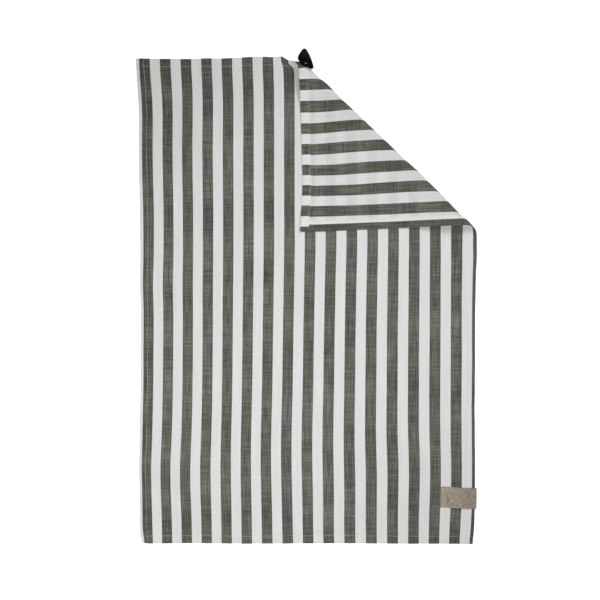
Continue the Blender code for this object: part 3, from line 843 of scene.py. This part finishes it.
def make_cloth(material):
    """The towel itself, one sheet with all four of its hems.

    The end hems are turned with the side hems already in them: a point of the side section that lies
    deeper than the cloth's middle is carried round the end bends at that depth.
    """
    side_u, side_lift, side_heading, side_cut = side_section()
    share = smooth_step((side_u - CLOTH_WIDTH + SIDE_HEMS[1] + SIDE_TRIM_REACH) / SIDE_TRIM_REACH)
    v, end_lift, end_heading = end_section(*[
        near_sides(side_u - share * (CLOTH_WIDTH - side_edge(place)), place)
        for place in (END_HEM, CLOTH_LENGTH - END_HEM)])
    turned_share = np.clip(np.abs(end_heading) / np.pi, 0, 1) * (v > CLOTH_LENGTH / 2)
    slip = LEAF_SLIP * turned_share * smooth_step((side_u - LEAF_SLIP_SPAN[0]) / LEAF_SLIP_SPAN[1])
    trim = CLOTH_WIDTH - side_edge(v)
    moved = slip - trim * share

    def face(side):
        off = side * CLOTH_THICK / 2
        lift = side_lift + off * np.cos(side_heading)
        pull = groove(side_u, SIDE_STITCHES[0]) + groove(CLOTH_WIDTH - side_u, SIDE_STITCHES[1])
        lift = lift - pull * np.cos(side_heading) * (np.abs(side_heading) < 4)
        u = side_u + moved + off * np.sin(side_heading)
        dip = groove(v, END_STITCH) + groove(CLOTH_LENGTH - v, END_STITCH)
        depth = lift - dip * (np.abs(end_heading) < 4)
        return laid(u, v + depth * np.sin(end_heading), end_lift + depth * np.cos(end_heading))[0]

    front, back = face(1), face(-1)
    bare = np.hypot(np.diff(v, axis=0), np.diff(end_lift, axis=0)).max(axis=1)
    along = np.concatenate([[0], np.cumsum(bare)])[:, None]
    flat = np.stack(np.broadcast_arrays(side_cut - trim * share, along), -1)
    cloth = closed_sheet("striped_cloth", front, back, flat, material)

    # What lies behind the cloth, and painted shade: down to -1 for a hem's layers, up to 2 for dark stripes
    # showing through and for the painted shade along the fold's roll
    leaf = (np.abs(end_heading) > 0.1) | (np.abs(side_heading) > 0.1)
    from_hem = np.minimum(CLOTH_LENGTH - v - END_HEM, CLOTH_WIDTH - side_u - SIDE_HEMS[1])
    shade = show_through_and_fold_shade(side_u + moved, v, back, ~leaf * smooth_step(from_hem / (2 * MM)))
    in_hem = smooth_step((END_HEM - np.minimum(v, CLOTH_LENGTH - v)) / (1 * MM) + 1)
    layers = np.concatenate([-np.maximum(leaf, in_hem / 2).ravel(), shade.ravel()]).astype(np.float32)
    cloth.data.attributes.new("layers", "FLOAT", "POINT").data.foreach_set("value", layers)
    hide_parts("towel_cloth")
    return cloth, float(side_cut[-1] - side_cut[0]), float(along[-1, 0])


def stitch_line(start, end, spacing):
    """Flat ends of the stitches on a straight line, each a little shorter than the spacing between holes."""
    start, end = np.array(start), np.array(end)
    count = int(round(np.linalg.norm(end - start) / spacing))
    first = (np.arange(count) + STITCH_HOLE) / count
    last = (np.arange(count) + 1 - STITCH_HOLE) / count
    return start + first[:, None] * (end - start), start + last[:, None] * (end - start)


def stitch_paths(first, last):
    """Points along each stitch from its first to its last end: share of the way, and its arch from 0 to 1."""
    share = np.linspace(0, 1, STITCH_RINGS)
    points = first[:, None] + share[None, :, None] * (last - first)[:, None]
    return points, np.sin(np.pi * share) ** 0.5


def both_faces(name, points, arch, front, back, material):
    """Stitches seen on both faces of the work, which are front and back metres from the cloth's middle."""
    paths, ups = [], []
    for face, side in ((front, 1), (back, -1)):
        lift = face + side * (arch * THREAD_ARCH - THREAD_RADIUS)
        place, normal = laid(points[..., 0], points[..., 1], lift)
        paths.append(place)
        ups.append(normal * side)
    return thread_piece(name, np.concatenate(paths), np.concatenate(ups), material)


def make_hem_stitches(material):
    """Lock stitches along the four hems, on the front and on the turned leaf behind."""
    ends = [stitch_line((2 * MM, place), (CLOTH_WIDTH - 5 * MM, place), STITCH_PITCH)
            for place in (END_STITCH, CLOTH_LENGTH - END_STITCH)]
    left, right = [stitch_line((0, 2 * MM), (0, CLOTH_LENGTH - 2 * MM), STITCH_PITCH) for _ in SIDE_STITCHES]
    for points in left:
        points[:, 0] += SIDE_STITCHES[0]
    for points in right:
        points[:, 0] = side_edge(points[:, 1]) - SIDE_STITCHES[1]
    first, last = [np.concatenate(parts) for parts in zip(*ends, left, right)]
    points, arch = stitch_paths(first, last)
    u, v = points[..., 0], points[..., 1]
    from_end = np.minimum(v, CLOTH_LENGTH - v)
    in_corner = near_sides(u, v) * (from_end < END_HEM)
    deep = HEM_DEPTH + (CORNER_DEPTH - HEM_DEPTH) * in_corner
    face = CLOTH_THICK / 2 - HEM_GROOVE
    return both_faces("hem_stitches", points, arch, face, -deep - face, material)


def label_section():
    """The label's middle line: distance past the towel's side, and lift from the cloth's middle.

    It runs from the turned-under inner end over the front, along half an ellipse round the side, and back
    behind. Smooth steps ease it over the tuck, up to its bulge and down. A Gaussian is the stitches' groove.
    """
    bend = (LABEL_THICK + LABEL_GAP) / 2
    low = CLOTH_THICK / 2 + LABEL_GAP + LABEL_THICK / 2
    turn = np.linspace(-np.pi, 0, 7)
    run = even_lines(-LABEL_LEAF + LABEL_FRONT_ENDS[0], -LABEL_FRONT_ENDS[1], LABEL_CELL)
    from_end = LABEL_LEAF + run
    over_tuck = 1 - smooth_step((from_end - LABEL_TUCK) / LABEL_TUCK_EASE)
    rise = smooth_step((from_end - LABEL_STITCH - LABEL_BULGE_FROM) / LABEL_BULGE_EASES[0])
    fall = smooth_step(-run / LABEL_BULGE_EASES[1])
    press = LABEL_GROOVE[0] * np.exp(-((from_end - LABEL_STITCH) / LABEL_GROOVE[1]) ** 2)
    top = low + 2 * bend * over_tuck + LABEL_BULGE * rise * fall - press
    edge = np.linspace(0, np.pi, 13)
    back = even_lines(-LABEL_LEAF, -LABEL_BACK_END, LABEL_BACK_CELL)[::-1]
    behind = -low - HEM_DEPTH * (1 - smooth_step((-back - SIDE_HEMS[1]) / LABEL_BACK_EASE))
    half, middle = (top[-1] - behind[0]) / 2, (top[-1] + behind[0]) / 2
    way = np.concatenate([
        [-LABEL_LEAF + LABEL_TUCK, -LABEL_LEAF + LABEL_TUCK / 2], -LABEL_LEAF + bend + bend * np.sin(turn),
        run, LABEL_REACH * np.sin(edge), back,
    ])
    lift = np.concatenate([
        [low, low], low + bend + bend * np.cos(turn), top, middle + half * np.cos(edge), behind,
    ])
    return way, lift


def make_label(material):
    """Bare woven label folded round the towel's right side."""
    way, lift = label_section()
    cut = np.concatenate([[0], np.cumsum(np.hypot(np.diff(way), np.diff(lift)))])
    across = even_lines(-LABEL_WIDTH / 2, LABEL_WIDTH / 2, LABEL_CELL)

    def face(side):
        face_way, face_lift = beside(way, lift, side * LABEL_THICK / 2)
        v = LABEL_V + across[None, :] - LABEL_SLOPE * np.minimum(way, 0)[:, None]
        return laid(side_edge(v) + face_way[:, None], v, face_lift[:, None])[0]

    flat = np.stack(np.broadcast_arrays(cut[None, :], across[:, None]), -1)
    label = closed_sheet(
        "bare_label", face(1).transpose(1, 0, 2), face(-1).transpose(1, 0, 2), flat, material)
    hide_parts("side_label")
    return label, float(cut[-1])


def make_label_stitches(material):
    """One line of stitches across the label near its inner end, through both leaves."""
    way, lift = label_section()
    inward = LABEL_LEAF - LABEL_STITCH
    upper = slice(2, int(np.argmax(way)))
    top = float(np.interp(-inward, way[upper], lift[upper])) + LABEL_THICK / 2
    middle = LABEL_V + LABEL_SLOPE * inward
    half = LABEL_WIDTH / 2 - LABEL_STITCH_MARGIN
    place = float(side_edge(middle)) - inward
    first, last = stitch_line((place, middle - half), (place, middle + half), LABEL_STITCH_PITCH)
    behind = -CLOTH_THICK / 2 - LABEL_GAP - LABEL_THICK
    return both_faces("label_stitches", *stitch_paths(first, last), top, behind, material)


def smooth_line(points, count):
    """count points, evenly spaced by length, on a smooth line along the given ones, and its length.

    The corners between the given points are cut three times, each time by a quarter of both sides.
    """
    for _ in range(3):
        low, high = points[:-1], points[1:]
        cut = np.stack([0.75 * low + 0.25 * high, 0.25 * low + 0.75 * high], axis=1)
        points = np.concatenate([points[:1], cut.reshape(-1, points.shape[1]), points[-1:]])
    run = np.concatenate([[0], np.cumsum(np.linalg.norm(np.diff(points, axis=0), axis=1))])
    place = np.linspace(0, run[-1], count)
    return np.stack([np.interp(place, run, column) for column in points.T], axis=1), run[-1]


def loop_surface(count, across):
    """Places on the middle of the loop's tape, with the tape's normal: rows across it, columns along it.

    The lower leg keeps to the left side and the upper leg to the right where they are sewn on. Both are
    drawn back from the corners by (2 across - 1)^4 of the rounding, their sides bow out as half a sine wave,
    and the tape arches up as a parabola between them.
    """
    line, length = smooth_line(np.array(LOOP_PATH) * MM, count)
    share, lower = line[:, 0] / LOOP_REACH, np.arange(count) < count / 2
    near_root = 1 - smooth_step(share / LOOP_LEG_REACH)
    across = across[:, None]
    across = (across * (1 - LOOP_LEGS[0] * near_root * lower)
              + (1 - across) * LOOP_LEGS[1] * near_root * ~lower)
    corner = (2 * np.linspace(0, 1, len(across))[:, None] - 1) ** 4
    drawn = LOOP_ROUND[0] * (1 - smooth_step(share / LOOP_ROUND_ROOTS))
    drawn = drawn - LOOP_ROUND[1] * smooth_step(share * 2 - 1)
    share = (share + corner * drawn)[..., None]
    bow = np.sin(np.pi * np.clip(share, 0, 1)) * np.array([1, 0])
    left = LOOP_ROOT_LEFT + (LOOP_TIP_LEFT - LOOP_ROOT_LEFT) * share - LOOP_SPREAD[0] * bow
    right = LOOP_ROOT_RIGHT + (LOOP_TIP_RIGHT - LOOP_ROOT_RIGHT) * share + LOOP_SPREAD[1] * bow
    plan = left + across[..., None] * (right - left)
    height = line[:, 1] + LOOP_ARCH * (1 - (2 * across - 1) ** 2)
    middle = np.concatenate([plan, height[..., None]], axis=-1)
    normal = np.cross(np.gradient(middle, axis=1), np.gradient(middle, axis=0))
    normal /= np.linalg.norm(normal, axis=-1, keepdims=True)
    return middle, normal, length


def make_loop(material):
    """Hanging loop: the surface above, half a tape's thickness to each side of it."""
    across = np.linspace(0, 1, LOOP_GRID[0])
    middle, normal, length = loop_surface(LOOP_GRID[1], across)
    width = float(np.linalg.norm(np.diff(middle, axis=0), axis=-1).sum(axis=0).mean())
    along = np.linspace(0, length, LOOP_GRID[1])
    flat = np.stack(np.broadcast_arrays(along[None, :], across[:, None] * width), -1)
    half = TAPE_THICK / 2
    loop = closed_sheet("loop_tape", middle + half * normal, middle - half * normal, flat, material)
    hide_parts("hanging_loop")
    return loop, width, float(length)


def make_loop_stitches(material):
    """Two short stitches that tack the loop's upper leg to its lower one."""
    middle, normal, _ = loop_surface(LOOP_GRID[1], np.linspace(0, 1, LOOP_GRID[0]))
    path = middle[TACK] + (TAPE_THICK + THREAD_RADIUS) / 2 * normal[TACK]
    return thread_piece("loop_stitches", path, normal[TACK], material)


def add_panel(name, place, size, power):
    """Square panel of white light at a place, turned towards the middle of the towel."""
    data = bpy.data.lights.new(name, "AREA")
    data.shape = "SQUARE"
    data.size = size
    data.energy = power
    item = bpy.data.objects.new(name, data)
    item.location = place
    item.rotation_euler = (-Vector(place)).to_track_quat("-Z", "Y").to_euler()
    item.visible_camera = False
    bpy.context.scene.collection.objects.link(item)


def make_studio():
    """White table, one panel of light close above, one far off to the upper right, camera straight above."""
    scene = bpy.context.scene
    mesh = bpy.data.meshes.new("studio_floor")
    ways = (-1, -1), (1, -1), (1, 1), (-1, 1)
    mesh.from_pydata([(x * TABLE_REACH, y * TABLE_REACH, -TABLE_DROP) for x, y in ways], [], [(0, 1, 2, 3)])
    material = bpy.data.materials.new("Matt white table")
    material.use_nodes = True
    look = {"Base Color": linear("#f4f4f4"), "Roughness": 0.95, "Specular IOR Level": 0.0,
            "Emission Color": (1, 1, 1, 1), "Emission Strength": TABLE_GLOW}
    for name, value in look.items():
        material.node_tree.nodes["Principled BSDF"].inputs[name].default_value = value
    mesh.materials.append(material)
    floor = bpy.data.objects.new("studio_floor", mesh)
    scene.collection.objects.link(floor)

    # White where the camera looks past the table, and dim as a light
    world = bpy.data.worlds.new("studio")
    world.use_nodes = True
    tree = world.node_tree
    background = tree.nodes["Background"].inputs
    background["Color"].default_value = (1, 1, 1, 1)
    seen = add_node(tree, "LightPath").outputs["Is Camera Ray"]
    plug(tree, background["Strength"], add_node(tree, "MapRange", (seen, 0, 1, WORLD_LIGHT, 1)))
    scene.world = world
    for panel in PANELS:
        add_panel(*panel)

    camera = bpy.data.objects.new("photo_camera", bpy.data.cameras.new("photo_camera"))
    camera.data.lens = CAMERA_LENS
    camera.data.clip_start, camera.data.clip_end = 0.01, 20
    camera.location = CAMERA_PLACE
    scene.collection.objects.link(camera)
    scene.camera = camera
    scene.view_settings.view_transform = "Standard"


def main():
    """Dress the towel, its label, its loop and its sewing, and set up the studio."""
    make_studio()
    cloth, cut_width, cut_length = make_cloth(striped_cotton())
    ecru_thread = sewing_thread("Ecru sewing thread", "#e4e1d8")
    hem_stitches = make_hem_stitches(ecru_thread)
    label, label_length = make_label(linen_tape())
    label_stitches = make_label_stitches(sewing_thread("Sand sewing thread", "#b3aa98"))
    loop, tape_width, tape_length = make_loop(black_tape())
    make_loop_stitches(ecru_thread)


main()
